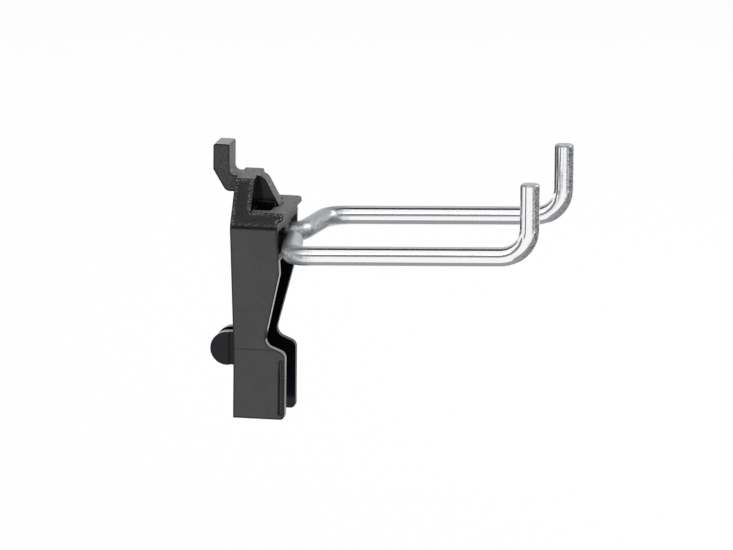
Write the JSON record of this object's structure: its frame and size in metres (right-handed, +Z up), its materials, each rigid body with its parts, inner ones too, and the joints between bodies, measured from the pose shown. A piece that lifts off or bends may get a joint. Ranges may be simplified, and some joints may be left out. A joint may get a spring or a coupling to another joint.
{
  "type": "hammer holder",
  "caption": "Hammer holder for a perforated tool panel: a black moulded clip with a hook and a snap peg, and a fork of bent round wire with upturned ends.",
  "frame": {"origin": "on the panel's face, in the mid-plane of the holder, half way between the two panel holes that it uses", "axes": "+X out of the panel along the prongs, +Y across the panel, +Z up"},
  "size_m": [0.0974, 0.063, 0.0773],
  "materials": {
    "plastic_black": "matte, lightly grained moulding",
    "steel_zinc": "bright zinc plating"
  },
  "bodies": {
    "root": {"clip_body": "plastic_black", "wire_fork": "steel_zinc"}
  },
  "joints": []
}
